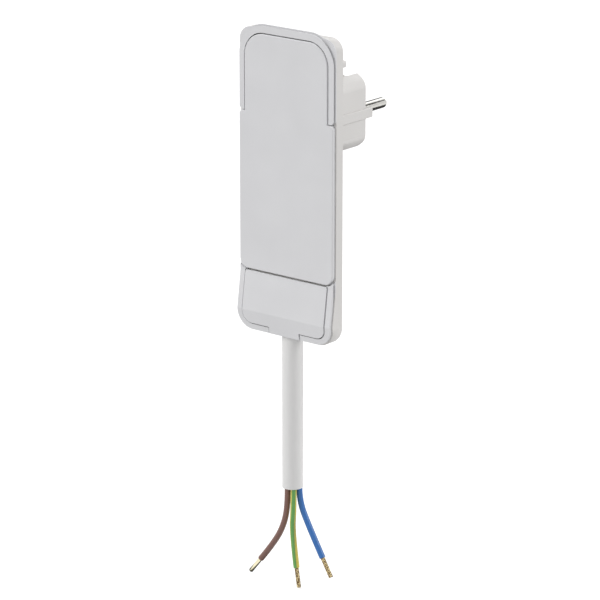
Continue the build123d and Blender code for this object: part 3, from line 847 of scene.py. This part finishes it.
class PlugCoresOperator(bpy.types.Operator):
    """Make the three stripped cores with their bare ends"""

    bl_idname = "plug.cores"
    bl_label = "Cores"

    def execute(self, context):
        looks = context.scene.plug_cord
        radius = looks.core_diameter / 2
        strands = strand_tree()
        metals = context.scene.plug_metals
        # Bare ends of tinned strands, with painted shade in the hollows of their relief
        tinned = strands_with_gap_shade("tinned_strands", tuple(metals.tinned), tuple(metals.strand_gap_shade))
        ferrule = metal("end_ferrule", tuple(metals.ferrule), 0.16, 0.0004, "Z")
        finishes = {
            "line": (insulation("brown_insulation", tuple(looks.brown)), "core_brown"),
            "neutral": (insulation("blue_insulation", tuple(looks.blue)), "core_blue"),
            "earth": (
                striped_insulation(
                    "green_yellow_insulation", tuple(looks.green), tuple(looks.yellow),
                    looks.stripe_twist, looks.green_share,
                ),
                "core_green_yellow",
            ),
        }
        for name, (material, slot) in finishes.items():
            points = followed(CORE_ROUTES[name])
            coat = ferrule if name == "line" else tinned
            end = self.bare_end(name, strands, coat, points, looks)
            cover, path = f"{name}_core_cover", None
            if name == "earth":
                path = points
                mesh = tube(cover, points, radius, 24)
                core = mesh_piece(cover, mesh, material, "housing")
            else:
                core = spline(cover, CORE_ROUTES[name], radius, material)
                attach(core, "housing")
            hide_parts(f"{name}_core")
        return {"FINISHED"}

    def bare_end(self, name, tree, material, points, looks):
        """Bare end of a core: twisted strands, or a smooth ferrule on the line core."""
        if name == "line":
            radius, tip = looks.ferrule_diameter / 2, looks.bare_length
            mesh = turned([
                (0, 0), (radius, 0), (radius, tip - 0.0003), (radius - 0.0002, tip), (0, tip),
            ], 32, "Z")
        else:
            mesh = grown(f"{name}_bare_end", tree, {
                "Strands": looks.strands,
                "Strand Radius": STRAND_RADIUS,
                "Lay Radius": STRAND_LAY,
                "Length": looks.bare_length,
                "Turns": STRAND_TURNS,
                "Finish": material,
            })
        direction = (points[-1] - points[-2]).normalized()
        turn = direction.to_track_quat("Z", "Y").to_matrix().to_4x4()
        mesh.transform(Matrix.Translation(points[-1]) @ turn)
        end = mesh_piece(f"{name}_bare_end", mesh, material, "housing")
        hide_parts(f"{name}_core_end")
        return end


class PlugStageOperator(bpy.types.Operator):
    """Make the floor, the light and the camera"""

    bl_idname = "plug.stage"
    bl_label = "Stage"

    def execute(self, context):
        looks = context.scene.plug_stage
        context.scene.view_settings.view_transform = "Standard"
        make_world(context.scene, looks.sky)
        make_floor()
        for name, (low, high) in CARDS.items():
            make_card(name, low, high)
        for name, (toward, strength, angle) in SUNS.items():
            lamp = bpy.data.lights.new(name, "SUN")
            lamp.energy = strength
            lamp.angle = radians(angle)
            holder = put(name, lamp)
            holder.rotation_euler = Vector(toward).to_track_quat("Z", "Y").to_euler()
        make_camera(context.scene, looks)
        return {"FINISHED"}


def make_world(scene, sky):
    """Even sky that lights the object, and plain white where it is seen or mirrored."""
    world = bpy.data.worlds.new("studio")
    world.use_nodes = True
    scene.world = world
    tree = world.node_tree
    tree.nodes.clear()
    output = tree.nodes.new("ShaderNodeOutputWorld")
    mixed = tree.nodes.new("ShaderNodeMixShader")
    tree.links.new(seen_rays(tree), mixed.inputs[0])
    for socket, strength in ((mixed.inputs[1], sky), (mixed.inputs[2], 1.0)):
        white = tree.nodes.new("ShaderNodeBackground")
        white.inputs["Color"].default_value = (1, 1, 1, 1)
        white.inputs["Strength"].default_value = strength
        tree.links.new(white.outputs[0], socket)
    tree.links.new(mixed.outputs[0], output.inputs["Surface"])


def seen_rays(tree):
    """1 for camera, glossy and transmission rays."""
    rays = tree.nodes.new("ShaderNodeLightPath")
    kinds = rays.outputs
    some = math_node(tree, "MAXIMUM", kinds["Is Camera Ray"], kinds["Is Glossy Ray"])
    return math_node(tree, "MAXIMUM", some, kinds["Is Transmission Ray"])


def make_floor():
    """White floor just under the lowest core, which keeps the object's shadow."""
    half, height = FLOOR_REACH, BOX_AT_LOAD[0].z - FLOOR_GAP
    floor = put("floor", sheet("floor", (-half, -half, height), (half, half, height)))
    material, tree, shader = new_material("floor_white")
    tree.nodes.remove(shader)
    diffuse = tree.nodes.new("ShaderNodeBsdfDiffuse")
    diffuse.inputs["Color"].default_value = (FLOOR_TONE, FLOOR_TONE, FLOOR_TONE, 1)
    glow = tree.nodes.new("ShaderNodeEmission")
    both = tree.nodes.new("ShaderNodeAddShader")
    seen = math_node(tree, "MULTIPLY", seen_rays(tree), FLOOR_GLOW)
    tree.links.new(seen, glow.inputs["Strength"])
    tree.links.new(diffuse.outputs[0], both.inputs[0])
    tree.links.new(glow.outputs[0], both.inputs[1])
    tree.links.new(both.outputs[0], tree.nodes["Material Output"].inputs["Surface"])
    give(floor, material)


def sheet(name, low, high):
    """Mesh of one rectangle between two corners, upright along X or flat."""
    mesh = bpy.data.meshes.new(name)
    corners = [low, (high[0], low[1], low[2]), high, (low[0], high[1], high[2])]
    mesh.from_pydata(corners, [], [(0, 1, 2, 3)])
    return mesh


def make_card(name, low, high):
    """Dark card that only glossy rays see."""
    card = put(name, sheet(name, low, high))
    card.visible_camera = card.visible_diffuse = card.visible_shadow = False
    material, _, shader = new_material(f"{name}_black")
    shader.inputs["Base Color"].default_value = (CARD_TONE, CARD_TONE, CARD_TONE, 1)
    shader.inputs["Specular IOR Level"].default_value = 0.0
    give(card, material)


def make_camera(scene, looks):
    """Camera at the photograph's angle, for a square picture."""
    data = bpy.data.cameras.new("camera")
    data.sensor_width = SENSOR
    data.lens = looks.lens
    data.clip_end = CLIP_END
    camera = put("camera", data)
    turn, rise = radians(looks.azimuth), radians(looks.elevation)
    back = Vector((sin(turn) * cos(rise), -cos(turn) * cos(rise), sin(rise)))
    camera.location = Vector(LOOK_AT) + back * looks.distance
    camera.rotation_mode = "QUATERNION"
    camera.rotation_quaternion = back.to_track_quat("Z", "Y")
    scene.camera = camera


class PlugPanel(bpy.types.Panel):
    """Lists the plug's pieces"""

    bl_idname = "VIEW3D_PT_plug"
    bl_label = "Flat mains plug"
    bl_space_type = "VIEW_3D"
    bl_region_type = "UI"
    bl_category = "Plug"

    def draw(self, context):
        for operator in OPERATORS:
            self.layout.operator(operator.bl_idname)
        for holder in SETTINGS:
            group = getattr(context.scene, holder)
            for name in group.bl_rna.properties.keys():
                if name not in ("rna_type", "name"):
                    self.layout.prop(group, name)


SETTINGS = {
    "plug_mouldings": PlugMouldings,
    "plug_metals": PlugMetals,
    "plug_cord": PlugCord,
    "plug_stage": PlugStage,
}
OPERATORS = (
    PlugStageOperator, PlugCordOperator, PlugCoresOperator, PlugMouldingsOperator,
    PlugInnerOperator, PlugPinsOperator, PlugMetalPartsOperator, PlugScrewsOperator,
)
CLASSES = (*SETTINGS.values(), *OPERATORS, PlugPanel)


def register():
    """Registers the add-on."""
    for made in CLASSES:
        bpy.utils.register_class(made)
    for holder, group in SETTINGS.items():
        setattr(bpy.types.Scene, holder, PointerProperty(type=group))


def unregister():
    """Takes the add-on out again."""
    for holder in SETTINGS:
        delattr(bpy.types.Scene, holder)
    for made in reversed(CLASSES):
        bpy.utils.unregister_class(made)


def main():
    """Makes every piece and the stage."""
    register()
    for operator in OPERATORS:
        group, name = operator.bl_idname.split(".")
        getattr(getattr(bpy.ops, group), name)()


if __name__ == "__main__":
    main()
